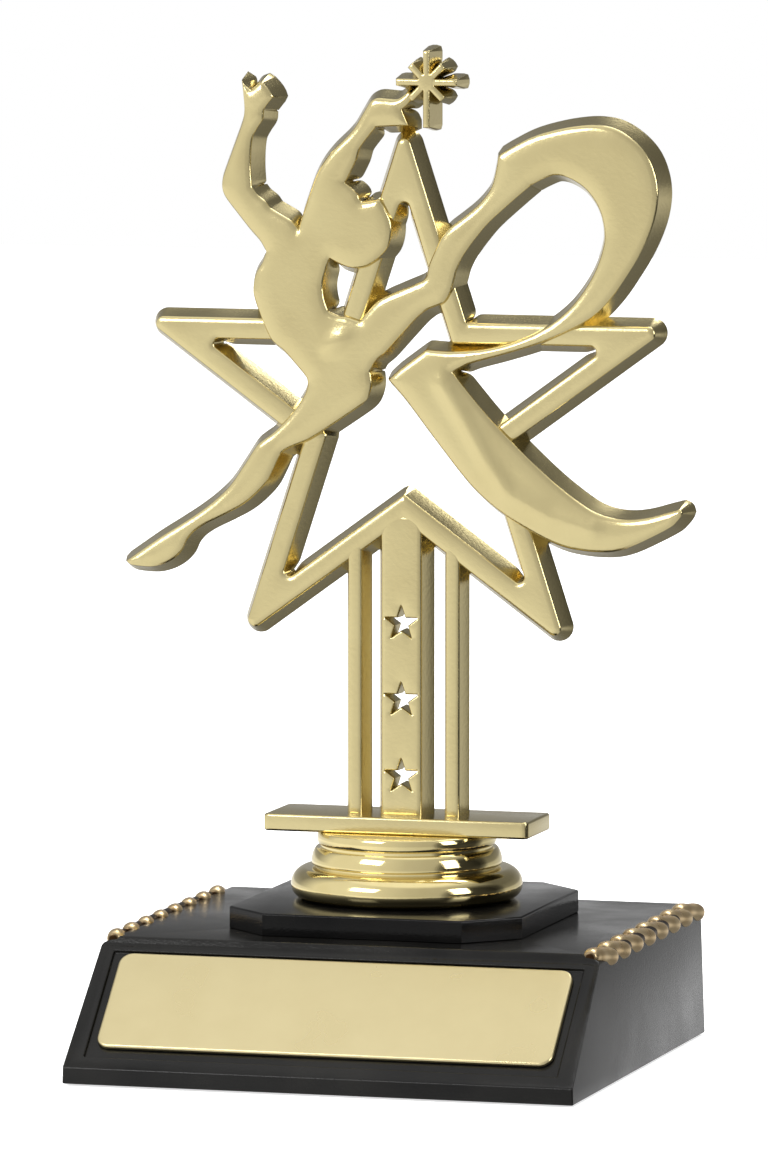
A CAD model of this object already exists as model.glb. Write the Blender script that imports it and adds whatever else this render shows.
"""Star trophy: a gold dancer with a ribbon in front of a star frame, on a black base.

The script follows the trophy as it is put together, from the felt up to the sparkle
in the dancer's hand. All sizes are in metres.
"""

import math

import bmesh
import bpy
import numpy as np
from mathutils.geometry import delaunay_2d_cdt
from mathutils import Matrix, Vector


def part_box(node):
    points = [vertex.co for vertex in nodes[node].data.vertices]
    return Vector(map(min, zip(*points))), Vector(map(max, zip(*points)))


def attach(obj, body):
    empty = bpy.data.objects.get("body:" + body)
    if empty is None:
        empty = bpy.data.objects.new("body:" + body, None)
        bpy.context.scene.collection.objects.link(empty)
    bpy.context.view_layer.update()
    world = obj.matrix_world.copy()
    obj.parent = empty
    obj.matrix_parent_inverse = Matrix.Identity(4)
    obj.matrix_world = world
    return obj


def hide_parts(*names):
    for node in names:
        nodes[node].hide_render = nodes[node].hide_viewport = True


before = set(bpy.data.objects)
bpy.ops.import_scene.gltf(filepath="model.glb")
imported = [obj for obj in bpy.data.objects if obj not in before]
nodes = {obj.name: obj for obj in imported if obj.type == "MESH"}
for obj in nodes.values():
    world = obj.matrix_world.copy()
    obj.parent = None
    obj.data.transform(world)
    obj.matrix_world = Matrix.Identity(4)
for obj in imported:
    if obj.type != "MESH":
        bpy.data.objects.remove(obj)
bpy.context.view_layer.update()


# ---------------------------------------------------------------- felt and ballast
# A square of green craft felt is glued under the base, over a cast-iron ballast plate
# that four self-tapping steel screws hold in the hollow. Only the felt's edge shows.

noise_low, noise_high = 0.32, 0.68


def cloud_group():
    """Soft patches and a fine grain over the object's own coordinates: two noise fields.

    Patches runs from 0 to 1 in broad clouds, Grain from 0 to 1 in fine specks.
    """
    group = bpy.data.node_groups.new("patches and grain", "ShaderNodeTree")
    face = group.interface
    for word, start in (("Patches per metre", 60.0), ("Grains per metre", 2000.0)):
        entry = face.new_socket(word, in_out="INPUT", socket_type="NodeSocketFloat")
        entry.default_value = start
    for word in ("Patches", "Grain"):
        face.new_socket(word, in_out="OUTPUT", socket_type="NodeSocketFloat")
    given = group.nodes.new("NodeGroupInput")
    out = group.nodes.new("NodeGroupOutput")
    place = group.nodes.new("ShaderNodeTexCoord")
    for word, rate, detail in (("Patches", "Patches per metre", 3.0),
                               ("Grain", "Grains per metre", 2.0)):
        noise = group.nodes.new("ShaderNodeTexNoise")
        noise.inputs["Detail"].default_value = detail
        group.links.new(place.outputs["Object"], noise.inputs["Vector"])
        group.links.new(given.outputs[rate], noise.inputs["Scale"])
        spread = group.nodes.new("ShaderNodeMapRange")
        spread.inputs["From Min"].default_value = noise_low
        spread.inputs["From Max"].default_value = noise_high
        group.links.new(noise.outputs["Fac"], spread.inputs["Value"])
        group.links.new(spread.outputs["Result"], out.inputs[word])
    return group


clouds = cloud_group()


def finish(name, colours, roughness, metallic=0.0, patches=60.0, grains=2000.0,
           grain_depth=0.0, **plain):
    """A finish whose colour and roughness drift with the patches and whose grain is a bump.

    colours and roughness are (low, high) pairs; plain holds the shader's constant sockets.
    """
    material = bpy.data.materials.new(name)
    material.use_nodes = True
    tree = material.node_tree
    shader = tree.nodes["Principled BSDF"]
    shader.inputs["Metallic"].default_value = metallic
    for socket, value in plain.items():
        shader.inputs[socket.replace("_", " ")].default_value = value
    cloud = tree.nodes.new("ShaderNodeGroup")
    cloud.node_tree = clouds
    cloud.inputs["Patches per metre"].default_value = patches
    cloud.inputs["Grains per metre"].default_value = grains
    mix = tree.nodes.new("ShaderNodeMix")
    mix.data_type = "RGBA"
    mix.inputs[6].default_value = (*colours[0], 1)
    mix.inputs[7].default_value = (*colours[1], 1)
    tree.links.new(cloud.outputs["Patches"], mix.inputs[0])
    tree.links.new(mix.outputs[2], shader.inputs["Base Color"])
    rough = tree.nodes.new("ShaderNodeMapRange")
    rough.inputs["To Min"].default_value = roughness[0]
    rough.inputs["To Max"].default_value = roughness[1]
    tree.links.new(cloud.outputs["Patches"], rough.inputs["Value"])
    tree.links.new(rough.outputs["Result"], shader.inputs["Roughness"])
    if grain_depth:
        bump = tree.nodes.new("ShaderNodeBump")
        bump.inputs["Distance"].default_value = grain_depth
        tree.links.new(cloud.outputs["Grain"], bump.inputs["Height"])
        tree.links.new(bump.outputs["Normal"], shader.inputs["Normal"])
    return material


def dress(node, material):
    """The CAD node keeps its shape and takes the finish."""
    slots = nodes[node].data.materials
    slots.clear()
    slots.append(material)


felt = finish("green felt", ((0.012, 0.05, 0.026), (0.03, 0.095, 0.05)), (0.9, 1.0),
              patches=900, grains=5200, grain_depth=0.0002, Sheen_Weight=0.4)
dress("felt_pad", felt)
iron = finish("cast iron", ((0.045, 0.042, 0.04), (0.10, 0.085, 0.07)), (0.55, 0.75),
              metallic=0.6, patches=220, grains=3000, grain_depth=0.00015)
dress("ballast_plate", iron)
zinc = finish("zinc-plated steel", ((0.50, 0.52, 0.54), (0.66, 0.67, 0.68)), (0.25, 0.4),
              metallic=1.0, patches=300, grains=6000, grain_depth=0.00002)
dress("ballast_screws", zinc)


# ---------------------------------------------------------------- base shell
# The base is one hollow moulding of gloss black styrene. Its edges keep the fine
# rounding of the mould, and its top carries a faint haze of polish and dust.
base_edge = 0.00035

black_moulding = finish("black moulding", ((0.0028, 0.0027, 0.0026), (0.0085, 0.008, 0.007)),
                        (0.12, 0.26), patches=75, grains=2600, grain_depth=0.00001,
                        Specular_IOR_Level=0.24)


def edged_copy(node, name, width):
    """The node's shape with its flat faces rejoined and a fine round along every edge."""
    mesh = nodes[node].data.copy()
    mesh.name = name
    mesh.materials.clear()
    work = bmesh.new()
    work.from_mesh(mesh)
    bmesh.ops.remove_doubles(work, verts=work.verts, dist=1e-6)
    bmesh.ops.dissolve_limit(work, angle_limit=math.radians(0.5), verts=work.verts,
                             edges=work.edges)
    for face in work.faces:
        face.smooth = True
    work.to_mesh(mesh)
    work.free()
    piece = bpy.data.objects.new(name, mesh)
    bpy.context.scene.collection.objects.link(piece)
    edge = piece.modifiers.new("rounded edges", "BEVEL")
    edge.width = width
    edge.segments = 3
    edge.limit_method = "ANGLE"
    edge.angle_limit = math.radians(20)
    edge.harden_normals = True
    return piece


def settle(piece, material, body, slot, *replaced):
    """The piece takes its finish, rides on its body and stands for its CAD nodes."""
    piece.data.materials.append(material)
    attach(piece, body)
    if replaced:
        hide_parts(*replaced)


shell = edged_copy("base_shell", "base_moulding", base_edge)
settle(shell, black_moulding, "base", "base_black", "base_shell")


# ---------------------------------------------------------------- engraving plate
# A thin brass-coloured aluminium plate, blank and with rolled edges, stuck into the
# recess of the sloped face on a sheet of double-sided adhesive.
slope_angle = math.radians(42.56)
lip_y, lip_z = -0.0471, 0.0027
plate_w, plate_len, plate_r = 0.068, 0.0176, 0.002
plate_up, plate_low, plate_t = 0.0128, -0.0003, 0.0006

satin_gold = finish("satin gold plate", ((0.66, 0.565, 0.315), (0.70, 0.605, 0.345)),
                    (0.26, 0.36), metallic=1.0, patches=130, grains=9000,
                    grain_depth=0.000004)
foam = finish("white adhesive foam", ((0.72, 0.70, 0.64), (0.80, 0.78, 0.72)), (0.7, 0.85),
              patches=500, grains=6000, grain_depth=0.00004)
dress("plate_adhesive", foam)


def new_piece(name, points, faces, smooth_to=35):
    """An object at the origin from points and faces, smooth up to the angle in degrees."""
    mesh = bpy.data.meshes.new(name)
    mesh.from_pydata(points.tolist(), [], faces.tolist())
    mesh.update()
    mesh.polygons.foreach_set("use_smooth", np.ones(len(mesh.polygons), bool))
    mesh.set_sharp_from_angle(angle=math.radians(smooth_to))
    piece = bpy.data.objects.new(name, mesh)
    bpy.context.scene.collection.objects.link(piece)
    return piece


def tube_faces(rings, around, closed=False):
    """Quads between neighbouring rings of points, each ring closed on itself."""
    last = rings if closed else rings - 1
    i, j = np.meshgrid(np.arange(last), np.arange(around), indexing="ij")
    k, l = (i + 1) % rings, (j + 1) % around
    return np.stack([i * around + j, i * around + l, k * around + l, k * around + j],
                    axis=-1).reshape(-1, 4)


def rounded_outline(w, d, r, inset, steps=8):
    """A rectangle w by d with corners of radius r, moved in by inset; corner points lie on
    quarter circles about the four corner centres."""
    turn = np.linspace(0, np.pi / 2, steps)
    angle = (turn[None] + np.arange(4)[:, None] * np.pi / 2).ravel()
    sign = np.repeat(np.array([[1, 1], [-1, 1], [-1, -1], [1, -1]]), steps, axis=0)
    centre = sign * (np.array([w, d]) / 2 - r)
    return centre + (r - inset) * np.stack([np.cos(angle), np.sin(angle)], axis=1)


def round_over(t, top, bottom=0.0, steps=5):
    """Side profile of a plate t thick: rows of (inset, height), with a quarter circle of
    radius top at the upper edge and of radius bottom at the lower edge."""
    a = np.linspace(0, np.pi / 2, steps)
    rows = []
    if bottom:
        rows.append(np.stack([bottom * (1 - np.sin(a)), bottom * (1 - np.cos(a))], axis=1))
    else:
        rows.append(np.array([[0.0, 0.0]]))
    rows.append(np.stack([top * (1 - np.cos(a)), t - top * (1 - np.sin(a))], axis=1))
    return np.concatenate(rows)


def slab_piece(name, outline, profile, smooth_to=35):
    """A flat-topped solid: the outline at every inset and height of the profile, closed by
    one flat face below and one above. outline(inset) returns its points."""
    rings = np.stack([np.column_stack([outline(inset), np.full(len(outline(inset)), z)])
                      for inset, z in profile])
    count, around = rings.shape[:2]
    sides = tube_faces(count, around).tolist()
    caps = [list(range(around))[::-1], list(range((count - 1) * around, count * around))]
    points = rings.reshape(-1, 3)
    mesh = bpy.data.meshes.new(name)
    mesh.from_pydata(points.tolist(), [], sides + caps)
    mesh.polygons.foreach_set("use_smooth", np.ones(len(mesh.polygons), bool))
    mesh.set_sharp_from_angle(angle=math.radians(smooth_to))
    piece = bpy.data.objects.new(name, mesh)
    bpy.context.scene.collection.objects.link(piece)
    return piece


def put_points(piece, place):
    """Moves every point of the piece by place(points), an array in and an array out."""
    mesh = piece.data
    flat = np.empty(len(mesh.vertices) * 3)
    mesh.vertices.foreach_get("co", flat)
    mesh.vertices.foreach_set("co", place(flat.reshape(-1, 3)).ravel())
    mesh.update()


def onto_slope(p):
    """Local X across, Y up the slope and Z outwards, turned about the lip's top edge."""
    c, s = math.cos(slope_angle), math.sin(slope_angle)
    y, z = p[:, 1] + plate_up, p[:, 2] + plate_low
    return np.column_stack([p[:, 0], lip_y + c * y - s * z, lip_z + s * y + c * z])


plate = slab_piece("engraving_plate_gold",
                   lambda inset: rounded_outline(plate_w, plate_len, plate_r, inset),
                   round_over(plate_t, 0.00042))
put_points(plate, onto_slope)
settle(plate, satin_gold, "base", "plate_gold", "engraving_plate")


# ---------------------------------------------------------------- rope trims
# A moulded rope of eight lobed strands runs along each side edge of the base's top,
# foil-plated antique gold with dark wash left in its grooves.
strand_count = 8
strand_r = 0.00148
rope_x, rope_z = 0.036375, 0.01875
rope_from, rope_to = -0.0294, 0.0274
strand_pitch = (rope_to - rope_from) / strand_count
strand_overlap = 0.0003
waist_depth, waist_span = 0.13, 0.3
lobe_shift, lobe_drop, lobe_turn = 0.00062, 0.00028, 1.6
wash_from, wash_span = 0.86, 0.13
strand_rings, strand_sides = 26, 28
core_share, core_short, core_rings = 0.78, 0.003, 12


def rope_finish():
    """Antique gold, darkened where the mesh's groove attribute is high."""
    material = finish("antique gold rope", ((0.88, 0.64, 0.34), (0.98, 0.77, 0.46)),
                      (0.26, 0.36), metallic=1.0, patches=400, grains=4000,
                      grain_depth=0.0000015)
    tree = material.node_tree
    shader = tree.nodes["Principled BSDF"]
    gold = shader.inputs["Base Color"].links[0].from_socket
    groove = tree.nodes.new("ShaderNodeAttribute")
    groove.attribute_name = "groove"
    wash = tree.nodes.new("ShaderNodeMix")
    wash.data_type = "RGBA"
    wash.inputs[7].default_value = (0.035, 0.018, 0.008, 1)
    tree.links.new(groove.outputs["Fac"], wash.inputs[0])
    tree.links.new(gold, wash.inputs[6])
    tree.links.new(wash.outputs[2], shader.inputs["Base Color"])
    return material


def rope(side):
    """Strands and core of one rope, with the groove mask of every point.

    A strand's centre runs along Y by half a strand's free length times minus cosine u,
    with a skew to the side; its radius is the strand radius times sine u to the power
    0.45, pinched a little at the middle. The core is a plain capsule.
    """
    u = np.linspace(0, np.pi, strand_rings)[:, None]
    v = np.linspace(0, 2 * np.pi, strand_sides, endpoint=False)[None]
    s = -np.cos(u)
    radius = strand_r * np.sqrt(np.maximum(np.sin(u), 0)) ** 0.9
    radius = radius * (1 - waist_depth * np.exp(-((s / waist_span) ** 2)))
    half = strand_pitch / 2 + strand_overlap
    skew = np.clip(s * lobe_turn, -1, 1)
    along = s * half
    x = rope_x + lobe_shift * skew + radius * np.cos(v)
    z = rope_z - lobe_drop * skew + radius * np.sin(v)
    y = np.broadcast_to(along, x.shape)
    mids = rope_from + (np.arange(strand_count) + 0.5) * strand_pitch
    one = np.stack([x, y, z], axis=-1).reshape(-1, 3)
    points = (one[None] + np.column_stack([mids * 0, mids, mids * 0])[:, None]).reshape(-1, 3)
    groove = np.clip((np.abs(s) - wash_from) / wash_span, 0, 1) ** 1.5
    groove = np.tile(np.broadcast_to(groove, x.shape).ravel(), strand_count)
    face = tube_faces(strand_rings, strand_sides)
    faces = (face[None] + (np.arange(strand_count) * len(one))[:, None, None]).reshape(-1, 4)
    w = np.linspace(0, np.pi, core_rings)[:, None]
    core_r = core_share * strand_r * np.sqrt(np.maximum(np.sin(w), 0))
    core_y = (rope_from + rope_to) / 2 - np.cos(w) * (rope_to - rope_from - core_short) / 2
    core = np.stack([rope_x + core_r * np.cos(v),
                     np.broadcast_to(core_y, (core_rings, strand_sides)),
                     rope_z + core_r * np.sin(v)], axis=-1).reshape(-1, 3)
    faces = np.concatenate([faces, tube_faces(core_rings, strand_sides) + len(points)])
    groove = np.concatenate([groove, np.ones(len(core))])
    points = np.concatenate([points, core])
    points[:, 0] *= side
    if side > 0:
        faces = faces[:, ::-1]
    return points, faces, groove


rope_gold = rope_finish()
for side, word in ((-1, "left"), (1, "right")):
    points, faces, groove = rope(side)
    trim = new_piece(word + "_rope", points, faces, smooth_to=180)
    mask = trim.data.attributes.new("groove", "FLOAT", "POINT")
    mask.data.foreach_set("value", groove.astype(np.float32))
    work = bmesh.new()
    work.from_mesh(trim.data)
    bmesh.ops.remove_doubles(work, verts=work.verts, dist=1e-7)
    work.to_mesh(trim.data)
    work.free()
    settle(trim, rope_gold, "base", "rope_gold", word + "_rope_trim")


# ---------------------------------------------------------------- octagonal plinth
# A loose octagonal block of the same black styrene lifts the collar off the base.
# Its upper edge is slightly broken, and it is polished brighter than the base.
plinth_low, plinth_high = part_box("octagonal_plinth")
plinth_corner = 0.0071

black_gloss = finish("black gloss", ((0.0020, 0.0020, 0.0022), (0.0060, 0.0058, 0.0055)),
                     (0.09, 0.2), patches=90, grains=2500, grain_depth=0.000008,
                     Specular_IOR_Level=0.14)


def octagon(inset):
    """The plinth's outline moved in by inset: a rectangle with 45-degree corners cut."""
    w, d = (plinth_high.x - plinth_low.x) / 2, (plinth_high.y - plinth_low.y) / 2
    w, d = w - inset, d - inset
    cut = plinth_corner - inset * (2 - math.sqrt(2))
    mid = (plinth_high.y + plinth_low.y) / 2
    return np.array([[w - cut, -d], [w, cut - d], [w, d - cut], [w - cut, d],
                     [cut - w, d], [-w, d - cut], [-w, cut - d], [cut - w, -d]]) + [0, mid]


plinth = slab_piece("plinth_block", octagon,
                    round_over(plinth_high.z - plinth_low.z, 0.0003, 0.00015), smooth_to=30)
put_points(plinth, lambda p: p + np.array([0, 0, plinth_low.z]))
settle(plinth, black_gloss, "base", "plinth_black", "octagonal_plinth")


# ---------------------------------------------------------------- clamping hardware
# A threaded rod screws into a brass nut in the collar, passes through the plinth and
# the base, and is locked from below with a washer and a nut.
brass = finish("brass insert", ((0.62, 0.42, 0.16), (0.74, 0.54, 0.24)), (0.25, 0.4),
               metallic=1.0, patches=300, grains=5000, grain_depth=0.00002)
dress("insert_nut", brass)
for part in ("threaded_rod", "lock_nut", "clamp_washer"):
    dress(part, zinc)


# ---------------------------------------------------------------- turned collar
# The collar is spun from brass in one piece, with a wide rounded flange, a groove and
# two beads, and is polished and plated to a mirror.
collar_low, collar_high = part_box("turned_collar")
flange_r, neck_r, groove_r = 0.0172, 0.0129, 0.0134
bore_r, pocket_r, pocket_depth = 0.00308, 0.00577, 0.005
around_collar = 160

mirror_gold = finish("mirror gold collar", ((0.78, 0.655, 0.32), (0.84, 0.715, 0.37)),
                     (0.05, 0.11), metallic=1.0, patches=200, grains=7000,
                     grain_depth=0.0000015)


def ring_arc(low_z, high_z, low_r, high_r, crown_r, steps=28):
    """Rows of (radius, height): a bulge from low_r out to crown_r and back to high_r; the
    height follows half a cosine and the bulge half a sine."""
    a = np.linspace(0, np.pi, steps)
    s = (1 - np.cos(a)) / 2
    r = low_r + (high_r - low_r) * s + (crown_r - max(low_r, high_r)) * np.sin(a)
    return np.column_stack([r, low_z + (high_z - low_z) * s])


def collar_profile():
    """The collar's outside from the foot up, then back down its pocket and bore."""
    h = collar_high.z - collar_low.z
    flange_top, band_top, groove = 0.46 * h, 0.76 * h, 0.00045
    return np.concatenate([
        [[bore_r, 0]],
        ring_arc(0, flange_top, flange_r - 0.002, flange_r - 0.0024, flange_r),
        [[groove_r, flange_top + 0.0001], [groove_r, flange_top + groove]],
        ring_arc(flange_top + groove, band_top, neck_r + 0.0009, neck_r + 0.0003,
                 neck_r + 0.0013),
        [[neck_r - 0.0002, band_top + 0.00005], [neck_r - 0.0002, band_top + groove]],
        ring_arc(band_top + groove, h, neck_r - 0.0001, neck_r - 0.0001, neck_r + 0.00025),
        [[pocket_r, h], [pocket_r, h - pocket_depth], [bore_r, h - pocket_depth]]])


profile = collar_profile()
turn = np.linspace(0, 2 * np.pi, around_collar, endpoint=False)
rings = np.stack([profile[:, :1] * np.cos(turn), profile[:, :1] * np.sin(turn),
                  np.broadcast_to(profile[:, 1:] + collar_low.z,
                                  (len(profile), around_collar))], axis=-1)
collar = new_piece("collar_turned_gold", rings.reshape(-1, 3),
                   tube_faces(len(profile), around_collar, closed=True), smooth_to=50)
settle(collar, mirror_gold, "figure", "collar_gold", "turned_collar")


# ---------------------------------------------------------------- foot plate
# Plate, posts, star, ribbon and dancer are one casting in the real trophy: soft alloy,
# plated pale gold and lacquered. The foot plate is its plain rounded bar.
foot_low, foot_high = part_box("foot_plate")
foot_edge = 0.00035

figure_gold = finish("pale gold plating", ((0.655, 0.555, 0.285), (0.70, 0.60, 0.315)),
                     (0.17, 0.25), metallic=1.0, patches=95, grains=1800,
                     grain_depth=0.000006)

foot = slab_piece("foot_plate_gold",
                  lambda inset: rounded_outline(foot_high.x - foot_low.x,
                                                foot_high.y - foot_low.y, 0.001, inset),
                  round_over(foot_high.z - foot_low.z, foot_edge, 0.0004, steps=6))
put_points(foot, lambda p: p + np.array([0, 0, foot_low.z]))
settle(foot, figure_gold, "figure", "figure_gold", "foot_plate")


# ---------------------------------------------------------------- star frame
# A five-point star of flat bars, drafted for the mould: its walls widen to the back,
# and its front edges are softly rounded under a faint crown.
star_z = 0.09447
star_face, plate_back = -0.0015, 0.0014
wall_draft = 0.00108
soft_edge = {"width": 0.0009, "height": 0.0005}
crown_reach, bump_reach = 0.0012, 0.0015
# Shares of the edge's width at which rows of points lie, and the share of its distance
# that a row's point has to keep from the rest of the outline.
edge_rows = np.array([0.02, 0.08, 0.18, 0.32, 0.5, 0.7, 0.88, 1.0])
row_share = 0.965
# The moved back outline keeps this share of its spread clear, and every edge of it this
# share of its length. Edges closer than on_line to a shared line count as on it.
open_share, least_run = 0.93, 0.12
on_line = 0.00006
# Faces within this many micrometres of a plane lie in it, and loops smaller than the area
# are the crumbs of nearly equal points.
plane_slack, least_area = 6, 2e-7


def face_loops(node, y):
    """Closed outlines, as rows of (x, z), of the CAD node's flat face at this depth.

    Of the triangles that lie in the plane, every edge used once is on an outline, and
    each outline is followed from edge to edge.
    """
    mesh = nodes[node].data
    flat = np.empty(len(mesh.vertices) * 3)
    mesh.vertices.foreach_get("co", flat)
    spots, same = np.unique(np.round(flat.reshape(-1, 3) * 1e6).astype(int), axis=0,
                            return_inverse=True)
    corners = np.empty(len(mesh.polygons) * 3, int)
    mesh.polygons.foreach_get("vertices", corners)
    tri = same.ravel()[corners].reshape(-1, 3)
    tri = tri[(np.abs(spots[tri][:, :, 1] - y * 1e6) < plane_slack).all(axis=1)]
    tri = tri[(tri != np.roll(tri, 1, axis=1)).all(axis=1)]
    edges = np.concatenate([tri[:, [0, 1]], tri[:, [1, 2]], tri[:, [2, 0]]])
    key = np.sort(edges, axis=1)
    _, first, count = np.unique(key, axis=0, return_index=True, return_counts=True)
    following = {}
    for begin, end in edges[first[count == 1]].tolist():
        following.setdefault(begin, []).append(end)
    loops = []
    while following:
        start = next(iter(following))
        chain, here = [], start
        while here in following:
            chain.append(here)
            ends = following[here]
            step_to = ends.pop()
            if not ends:
                del following[here]
            here = step_to
        loops.append(spots[chain][:, [0, 2]] * 1e-6)
    return [loop for loop in loops
            if len(loop) > 2 and abs(signed_area(loop)) > least_area]


def signed_area(loop):
    """Half the sum of the cross products of neighbouring points."""
    x, z = loop[:, 0], loop[:, 1]
    return 0.5 * np.sum(x * np.roll(z, -1) - np.roll(x, -1) * z)


def smooth_loop(loop, step, corner=math.radians(33)):
    """The loop as a cubic curve through its points, sampled about every step.

    Each stretch is a Hermite cubic whose end slopes follow the neighbouring points, or
    the stretch itself where the outline turns by more than the corner angle.
    """
    ahead = np.roll(loop, -1, axis=0) - loop
    length = np.linalg.norm(ahead, axis=1)
    keep = length > 2e-5
    if not keep.all():
        return smooth_loop(loop[keep], step, corner)
    unit = ahead / length[:, None]
    back = np.roll(unit, 1, axis=0)
    angle = np.abs(np.arctan2(back[:, 0] * unit[:, 1] - back[:, 1] * unit[:, 0],
                              np.sum(back * unit, axis=1)))
    sharp = angle > corner
    through = np.roll(loop, -1, axis=0) - np.roll(loop, 1, axis=0)
    through = through / np.maximum(np.linalg.norm(through, axis=1), 1e-12)[:, None]
    slope_out = np.where(sharp[:, None], unit, through)
    slope_in = np.where(np.roll(sharp, -1)[:, None], unit, np.roll(through, -1, axis=0))
    pieces = np.maximum(1, np.ceil(length / step).astype(int))
    which = np.repeat(np.arange(len(loop)), pieces)
    order = np.arange(len(which)) - np.repeat(np.cumsum(pieces) - pieces, pieces)
    t = (order / pieces[which])[:, None]
    a, b = loop[which], np.roll(loop, -1, axis=0)[which]
    d = length[which][:, None]
    return ((2 * t**3 - 3 * t**2 + 1) * a + (t**3 - 2 * t**2 + t) * d * slope_out[which]
            + (3 * t**2 - 2 * t**3) * b + (t**3 - t**2) * d * slope_in[which])


def segments(loops):
    """Start and end points of every edge of the loops."""
    return (np.concatenate(loops), np.concatenate([np.roll(q, -1, axis=0) for q in loops]))


def distance_to(points, starts, ends):
    """Each point's distance to the nearest edge, worked out in blocks of points."""
    run = ends - starts
    square = np.maximum(np.sum(run * run, axis=1), 1e-18)
    best = np.empty(len(points))
    for k in range(0, len(points), 1500):
        p = points[k:k + 1500, None]
        t = np.clip(np.sum((p - starts) * run, axis=2) / square, 0, 1)[..., None]
        best[k:k + 1500] = np.sqrt(np.min(np.sum((p - starts - t * run) ** 2, axis=2), axis=1))
    return best


def inside(points, starts, ends):
    """True for a point from which a ray to the right crosses the edges an odd number of
    times."""
    found = np.empty(len(points), bool)
    x1, z1, x2, z2 = starts[:, 0], starts[:, 1], ends[:, 0], ends[:, 1]
    rise = np.where(z2 == z1, 1e-18, z2 - z1)
    for k in range(0, len(points), 3000):
        x, z = points[k:k + 3000, :1], points[k:k + 3000, 1:]
        crosses = (z1 > z) != (z2 > z)
        found[k:k + 3000] = (np.sum(crosses & (x < x1 + (z - z1) / rise * (x2 - x1)), axis=1)
                             % 2).astype(bool)
    return found


def inner_points(loops, widths, starts, ends, grid):
    """Points on rows parallel to the outline at the edge's distances, and on a plain grid
    further in; a row's point stays only where no other part of the outline is nearer."""
    rows = []
    for loop, width in zip(loops, widths):
        ahead = np.roll(loop, -1, axis=0) - np.roll(loop, 1, axis=0)
        unit = ahead / np.maximum(np.linalg.norm(ahead, axis=1), 1e-12)[:, None]
        normal = np.column_stack([-unit[:, 1], unit[:, 0]])
        for share in edge_rows:
            every = 1 if share < 0.6 else 2
            row = loop[::every] + normal[::every] * share * width
            rows.append((row, np.full(len(row), share * width)))
    points = np.concatenate([p for p, _ in rows])
    wanted = np.concatenate([w for _, w in rows])
    true = distance_to(points, starts, ends)
    kept = points[(true > row_share * wanted) & inside(points, starts, ends)]
    low, high = starts.min(axis=0), starts.max(axis=0)
    x, z = np.meshgrid(np.arange(low[0], high[0], grid), np.arange(low[1], high[1], grid))
    x = x + (np.arange(x.shape[0]) % 2)[:, None] * grid / 2
    field = np.column_stack([x.ravel(), z.ravel()])
    field = field[inside(field, starts, ends)]
    field = field[distance_to(field, starts, ends) > max(widths) + 0.35 * grid]
    return np.concatenate([kept, field])


def triangulate(points, loops):
    """Triangles over the points with the loops' edges kept, in millimetres inside the
    solver so that its tolerance stays far below the finest row."""
    counts = np.cumsum([0] + [len(q) for q in loops])
    edges = np.concatenate([np.column_stack([np.arange(a, b), np.roll(np.arange(a, b), -1)])
                            for a, b in zip(counts[:-1], counts[1:])])
    result = delaunay_2d_cdt((points * 1e3).tolist(), edges.tolist(), [], 0, 1e-6)
    origin = np.array([came[0] if came else -1 for came in result[3]])
    return origin[np.array([list(f) for f in result[2]])]


def off_line(points, line):
    """Each point's distance from the endless straight line through the two points."""
    p, q = np.array(line)
    across = np.array([p[1] - q[1], q[0] - p[0]]) / np.linalg.norm(q - p)
    return np.abs((points - p) @ across)


def outward(loop, spread, starts, ends):
    """The loop moved out of the metal by spread, or by less where another edge is near.

    The share of the spread is the largest of a few tried at which no other edge is nearer;
    then it is evened out, and lowered wherever the moved loop would fold back on itself.
    """
    ahead = np.roll(loop, -1, axis=0) - np.roll(loop, 1, axis=0)
    unit = ahead / np.maximum(np.linalg.norm(ahead, axis=1), 1e-12)[:, None]
    normal = np.column_stack([unit[:, 1], -unit[:, 0]])
    share = np.full(len(loop), 0.02)
    open_still = np.ones(len(loop), bool)
    for tried in (0.08, 0.2, 0.35, 0.5, 0.65, 0.8, 1.0):
        reach = distance_to(loop + normal * tried * spread, starts, ends)
        open_still &= reach > open_share * tried * spread
        share[open_still] = tried
    for _ in range(4):
        share = np.minimum(share, (np.roll(share, 1) + share + np.roll(share, -1)) / 3)
    run = np.roll(loop, -1, axis=0) - loop
    for _ in range(60):
        moved = loop + normal * (share * spread)[:, None]
        new_run = np.roll(moved, -1, axis=0) - moved
        folded = np.sum(run * new_run, axis=1) < least_run * np.sum(run * run, axis=1)
        if not folded.any():
            break
        folded |= np.roll(folded, 1)
        share[folded] *= 0.8
    return moved


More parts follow.
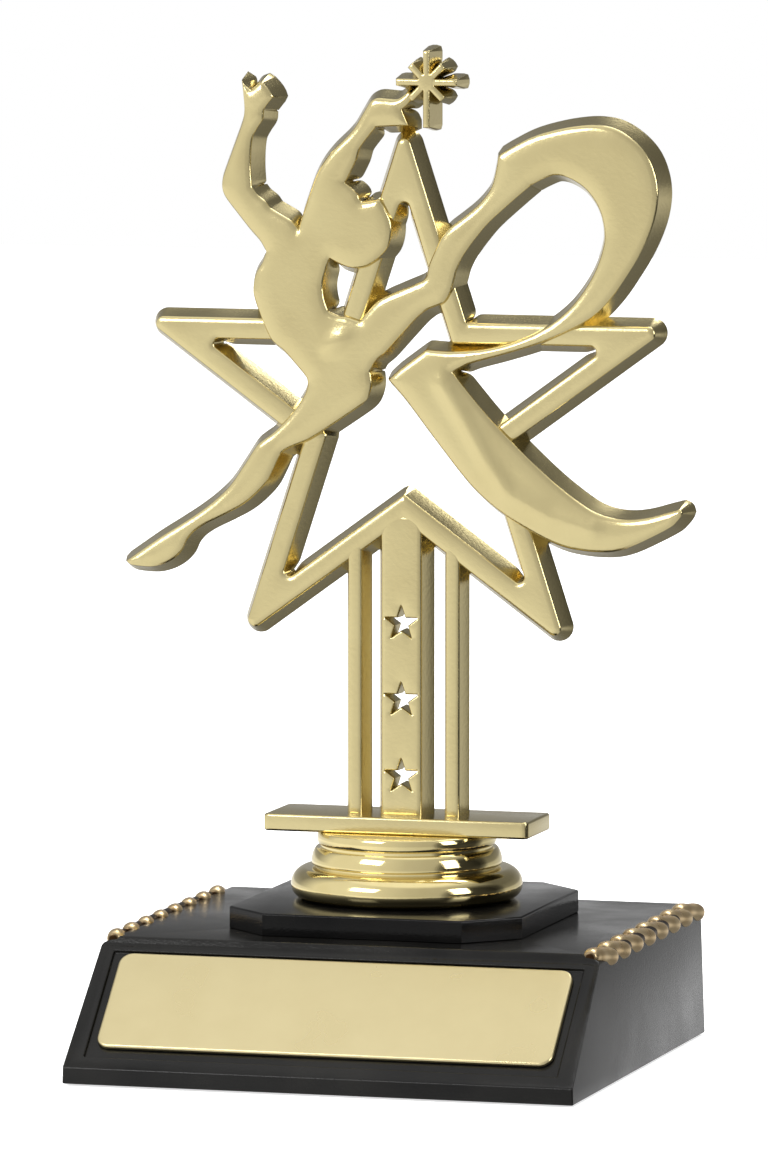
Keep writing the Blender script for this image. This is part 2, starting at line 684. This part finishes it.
def relief(name, front, front_y, back_y, edge, crown, spread, grid=0.0009, open_line=None,
           hole_edge=None, hole_spread=None, bumps=None):
    """A flat casting with a drafted wall, a rounded front edge and a crowned face.

    Depth at the front outline is front_y. Inside it the face rises by the edge height
    times a quarter ellipse of the distance from the outline, then by a crown that levels
    off, and by any bumps. The wall runs straight back to the outline moved outward.
    Edges along open_line, where two castings meet, are not rounded.
    """
    front = sorted(front, key=lambda q: -abs(signed_area(q)))
    front = [q if (signed_area(q) > 0) == (k == 0) else q[::-1]
             for k, q in enumerate(front)]
    starts, ends = segments(front)
    hole_edge = hole_edge or edge
    widths = [edge["width"]] + [hole_edge["width"]] * (len(front) - 1)
    inner = inner_points(front, widths, starts, ends, grid)
    points = np.concatenate(front + [inner])
    tri = triangulate(points, front)
    tri = tri[inside(points[tri].mean(axis=1), starts, ends)]

    def rise(outlines, shape):
        """Height of a rounded edge of this shape along these outlines, and distance."""
        a, b = segments(outlines)
        if open_line is not None:
            off = np.maximum(off_line(a, open_line), off_line(b, open_line))
            a, b = a[off > on_line], b[off > on_line]
        d = distance_to(points, a, b)
        share = np.clip(d / shape["width"], 0, 1)
        return shape["height"] * np.sqrt(1 - (1 - share) ** 2), d

    height, d = rise(front[:1], edge)
    if len(front) > 1:
        hole_height, hole_d = rise(front[1:], hole_edge)
        height = np.minimum(height, hole_height * edge["height"] / hole_edge["height"])
        d = np.minimum(d, hole_d)
    height = height + crown * (1 - np.exp(-(d / crown_reach) ** 2))
    if bumps is not None:
        height = height + bumps(points) * np.clip(d / bump_reach, 0, 1)
    face = np.column_stack([points[:, 0], front_y - height, points[:, 1]])

    spreads = [spread] + [spread if hole_spread is None else hole_spread] * (len(front) - 1)
    back = [outward(q, one, starts, ends) for q, one in zip(front, spreads)]
    behind = np.concatenate(back)
    wall_starts, wall_ends = segments(back)
    back_tri = triangulate(behind, back)
    back_tri = back_tri[inside(behind[back_tri].mean(axis=1), wall_starts, wall_ends)]
    back_tri = back_tri + len(points)
    counts = np.cumsum([0] + [len(q) for q in front])
    here = np.arange(counts[-1])
    after = np.concatenate([np.roll(np.arange(a, b), -1)
                            for a, b in zip(counts[:-1], counts[1:])])
    walls = np.concatenate([np.column_stack([here, here + len(points), after]),
                            np.column_stack([after, here + len(points),
                                             after + len(points)])])
    shell = np.concatenate([face, np.column_stack([behind[:, 0], np.full(len(behind), back_y),
                                                   behind[:, 1]])])
    faces = np.concatenate([facing(shell, tri, -1), facing(shell, back_tri, 1), walls])
    used, faces = np.unique(faces, return_inverse=True)
    return new_piece(name, shell[used], faces.reshape(-1, 3), smooth_to=42)


def facing(points, tri, way):
    """The triangles, each turned so that its normal's Y has the sign of way."""
    a, b, c = (points[tri[:, k]][:, [0, 2]] for k in range(3))
    cross = (b - a)[:, 0] * (c - a)[:, 1] - (b - a)[:, 1] * (c - a)[:, 0]
    return np.where((cross * way > 0)[:, None], tri[:, ::-1], tri)


def cast_node(node, name, front_y, back_y, edge, crown, spread, step=0.0003, **more):
    """The relief of a CAD node: its own front outline, smoothed."""
    front = [smooth_loop(q, step) for q in face_loops(node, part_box(node)[0].y)]
    return relief(name, front, front_y, back_y, edge, crown, spread, **more)


star = cast_node("star_frame", "star_frame_gold", star_face, plate_back, soft_edge, 0.00008,
                 wall_draft)
settle(star, figure_gold, "figure", "figure_gold", "star_frame")


# ---------------------------------------------------------------- posts
# A wide middle post with three small stars cut through, and a slim post on each side,
# run from the foot plate up into the underside of the star.
post_foot = foot_high.z - 0.0004
middle_w, middle_x, middle_top = 0.0062, -0.00035, 0.0792
slim_w, slim_x, slim_top, slim_back = 0.0022, 0.0074, 0.0750, 0.0008
post_back = 0.0013
slim_draft = 0.0008
cut_r, cut_first, cut_pitch = 0.0026, 0.0056, 0.01125


def upright_bar(x, width, top, step=0.0003):
    """A post's outline: a rectangle sampled every step."""
    low, high = x - width / 2, x + width / 2
    box = np.array([[low, post_foot], [high, post_foot], [high, top], [low, top]])
    return smooth_loop(box, step)


def small_star(x, z, radius):
    """A five-point star, point up, as (x, z) rows."""
    k = np.arange(10)
    r = np.where(k % 2 == 0, radius, radius * math.cos(math.radians(72))
                 / math.cos(math.radians(36)))
    a = np.radians(36 * k)
    return smooth_loop(np.column_stack([x + r * np.sin(a), z + r * np.cos(a)]), 0.00015)


cuts = [small_star(middle_x, foot_high.z + cut_first + k * cut_pitch, cut_r)
        for k in range(3)]
middle = relief("centre_post_gold", [upright_bar(middle_x, middle_w, middle_top)] + cuts,
                star_face, post_back, {"width": 0.00075, "height": 0.00048}, 0.00006,
                wall_draft, grid=0.0007, hole_edge={"width": 0.0003, "height": 0.0003},
                hole_spread=0.00006)
settle(middle, figure_gold, "figure", "figure_gold", "centre_post")
for side, word in ((-1, "left"), (1, "right")):
    slim = relief(word + "_post_gold", [upright_bar(side * slim_x, slim_w, slim_top)],
                  star_face, slim_back, {"width": 0.0006, "height": 0.0005}, 0.00004,
                  slim_draft, grid=0.0006)
    settle(slim, figure_gold, "figure", "figure_gold", word + "_post")


# ---------------------------------------------------------------- dancer and ribbon
# Dancer and ribbon stand a little in front of the star. The ribbon leaves the raised
# foot, loops round and falls in a tail with a soft ridge along its fold.
figure_face, figure_back, ribbon_back = -0.0024, 0.00125, 0.0012
ankle_line = ((0.0145, star_z + 0.0376), (0.0194, star_z + 0.0332))
bump_height = 0.0004
belly_x, belly_z = -0.00983, star_z + 0.00988
belly_long, belly_short, belly_turn = 0.0030, 0.0019, math.radians(30)
ridge_reach = 0.0011
ridge_line = np.array([[0.0060, 0.0045], [0.0093, -0.0008], [0.0127, -0.0066],
                       [0.0162, -0.0116], [0.0224, -0.0148], [0.0289, -0.0166]])


def belly(points):
    """A shallow oval swelling over the dancer's hip, highest in the oval's middle."""
    x, z = points[:, 0] - belly_x, points[:, 1] - belly_z
    c, s = math.cos(belly_turn), math.sin(belly_turn)
    u, v = (c * x + s * z) / belly_long, (-s * x + c * z) / belly_short
    return bump_height * np.maximum(1 - (u**2 + v**2), 0) ** 1.2


def ridge(points):
    """A soft ridge along the tail: a Gaussian of the distance from the ridge line."""
    line = ridge_line + np.array([0, star_z])
    d = distance_to(points, line[:-1], line[1:])
    return bump_height * np.exp(-(d / ridge_reach) ** 2)


dancer = cast_node("dancer", "dancer_gold", figure_face, figure_back, soft_edge, 0.0002,
                   wall_draft, open_line=ankle_line, bumps=belly)
settle(dancer, figure_gold, "figure", "figure_gold", "dancer")
ribbon = cast_node("ribbon", "ribbon_gold", figure_face, ribbon_back, soft_edge, 0.0002,
                   wall_draft, open_line=ankle_line, bumps=ridge)
settle(ribbon, figure_gold, "figure", "figure_gold", "ribbon")


# ---------------------------------------------------------------- hand sparkle
# An eight-ray sparkle sits in the raised hand, further forward than the dancer.
sparkle = cast_node("hand_sparkle", "hand_sparkle_gold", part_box("hand_sparkle")[0].y,
                    figure_back - 0.0001, {"width": 0.00045, "height": 0.0003}, 0.0,
                    0.00065, step=0.0002, grid=0.0005)
settle(sparkle, figure_gold, "figure", "figure_gold", "hand_sparkle")


# ---------------------------------------------------------------- studio
# A plain pale floor, soft boxes in front and above, and a surround that is bright on the
# left, dim on the right, and behind the trophy bright only near the horizon.
scene = bpy.context.scene
scene.view_settings.view_transform = "Standard"

floor_mesh = bpy.data.meshes.new("studio_floor")
floor_mesh.from_pydata([(-3, -3, 0), (3, -3, 0), (3, 1.6, 0), (-3, 1.6, 0)], [],
                       [(0, 1, 2, 3)])
floor = bpy.data.objects.new("studio_floor", floor_mesh)
scene.collection.objects.link(floor)
floor.visible_glossy = False
floor_paint = bpy.data.materials.new("pale floor")
floor_paint.use_nodes = True
floor_shader = floor_paint.node_tree.nodes["Principled BSDF"]
floor_shader.inputs["Base Color"].default_value = (0.86, 0.86, 0.86, 1)
floor_shader.inputs["Roughness"].default_value = 0.9
floor_shader.inputs["Specular IOR Level"].default_value = 0.1
floor_shader.inputs["Emission Color"].default_value = (1, 1, 1, 1)
floor_shader.inputs["Emission Strength"].default_value = 0.7
floor_mesh.materials.append(floor_paint)


def soft_box(name, place, aim, width, height, power):
    """A rectangular light that faces the point aim."""
    light = bpy.data.lights.new(name, "AREA")
    light.shape = "RECTANGLE"
    light.size, light.size_y = width, height
    light.energy = power
    lamp = bpy.data.objects.new(name, light)
    scene.collection.objects.link(lamp)
    reach = np.array(aim) - np.array(place)
    lamp.location = place
    lamp.rotation_euler = (math.acos(-reach[2] / np.linalg.norm(reach)), 0,
                           math.atan2(-reach[0], reach[1]))
    return lamp


soft_box("left box", (-0.56, -0.93, 0.66), (0, 0, 0.04), 0.55, 0.4, 4.5)
soft_box("back box", (0.15, 0.55, 1.0), (0, 0, 0.04), 0.6, 0.25, 3.0)
soft_box("right box", (1.02, -0.32, 0.40), (0, 0, 0.04), 0.36, 0.6, 3.6)
overhead = soft_box("overhead box", (-0.1, -0.05, 1.1), (0, 0, 0.05), 0.9, 0.9, 7)
overhead.visible_glossy = False

world = bpy.data.worlds.new("studio surround")
world.use_nodes = True
scene.world = world
tree = world.node_tree
tree.nodes.clear()


def world_range(source, low, high, at_low, at_high):
    """A straight ramp from at_low to at_high as the source goes from low to high."""
    ramp = tree.nodes.new("ShaderNodeMapRange")
    for socket, value in (("From Min", low), ("From Max", high), ("To Min", at_low),
                          ("To Max", at_high)):
        ramp.inputs[socket].default_value = value
    tree.links.new(source, ramp.inputs["Value"])
    return ramp.outputs["Result"]


def world_maths(operation, *sources):
    """One maths node on the given sockets or numbers."""
    node = tree.nodes.new("ShaderNodeMath")
    node.operation = operation
    for k, source in enumerate(sources):
        if isinstance(source, (int, float)):
            node.inputs[k].default_value = source
        else:
            tree.links.new(source, node.inputs[k])
    return node.outputs[0]


way = tree.nodes.new("ShaderNodeTexCoord")
parts = tree.nodes.new("ShaderNodeSeparateXYZ")
tree.links.new(way.outputs["Generated"], parts.inputs[0])
sideways = tree.nodes.new("ShaderNodeValToRGB")
stops = sideways.color_ramp.elements
for place, level in ((0.25, 1.0), (0.635, 0.66), (0.87, 0.56), (0.91, 0.2)):
    stops.new(place).color = (level, level, level, 1)
stops[0].color = (1, 1, 1, 1)
stops[-1].position = 0.95
stops[-1].color = (0.05, 0.05, 0.05, 1)
tree.links.new(world_range(parts.outputs["X"], -1, 1, 0, 1), sideways.inputs["Fac"])
heights = tree.nodes.new("ShaderNodeValToRGB")
rises = heights.color_ramp.elements
for place, level in ((0.43, 0.0), (0.495, 0.05), (0.53, 0.55), (0.65, 0.72)):
    rises.new(place).color = (level, level, level, 1)
rises[0].position = 0.29
rises[0].color = (0.74, 0.74, 0.74, 1)
rises[-1].color = (0.75, 0.75, 0.75, 1)
tree.links.new(world_range(parts.outputs["Z"], -1, 1, 0, 1), heights.inputs["Fac"])
behind = world_range(parts.outputs["Y"], 0.0, 0.5, 0.0, 1.0)
dimmed = world_maths("SUBTRACT", 1.0, world_maths("MULTIPLY", heights.outputs["Color"],
                                                  behind))
near_floor = world_range(parts.outputs["Z"], -0.12, -0.085, 1.16, 0.93)
dimmed = world_maths("MULTIPLY", dimmed, near_floor)
level = world_maths("MULTIPLY", sideways.outputs["Color"], dimmed)
level = world_maths("MAXIMUM", level, world_range(parts.outputs["Z"], 0.6, 0.9, 0.0, 1.12))
glow = tree.nodes.new("ShaderNodeBackground")
tree.links.new(level, glow.inputs["Color"])
white = tree.nodes.new("ShaderNodeBackground")
white.inputs["Color"].default_value = (1, 1, 1, 1)
seen = tree.nodes.new("ShaderNodeLightPath")
choose = tree.nodes.new("ShaderNodeMixShader")
out = tree.nodes.new("ShaderNodeOutputWorld")
tree.links.new(seen.outputs["Is Camera Ray"], choose.inputs["Fac"])
tree.links.new(glow.outputs["Background"], choose.inputs[1])
tree.links.new(white.outputs["Background"], choose.inputs[2])
tree.links.new(choose.outputs["Shader"], out.inputs["Surface"])


# ---------------------------------------------------------------- camera
# A long lens a metre and a half away, a little above the star and to its right.
camera_data = bpy.data.cameras.new("camera")
camera_data.lens = 325.98
camera_data.sensor_fit = "VERTICAL"
camera_data.sensor_height = 36.0
camera = bpy.data.objects.new("camera", camera_data)
camera.location = (0.41917, -1.45794, 0.22425)
camera.rotation_euler = (math.pi / 2 - 0.1013, 0, 0.28217)
scene.collection.objects.link(camera)
scene.camera = camera
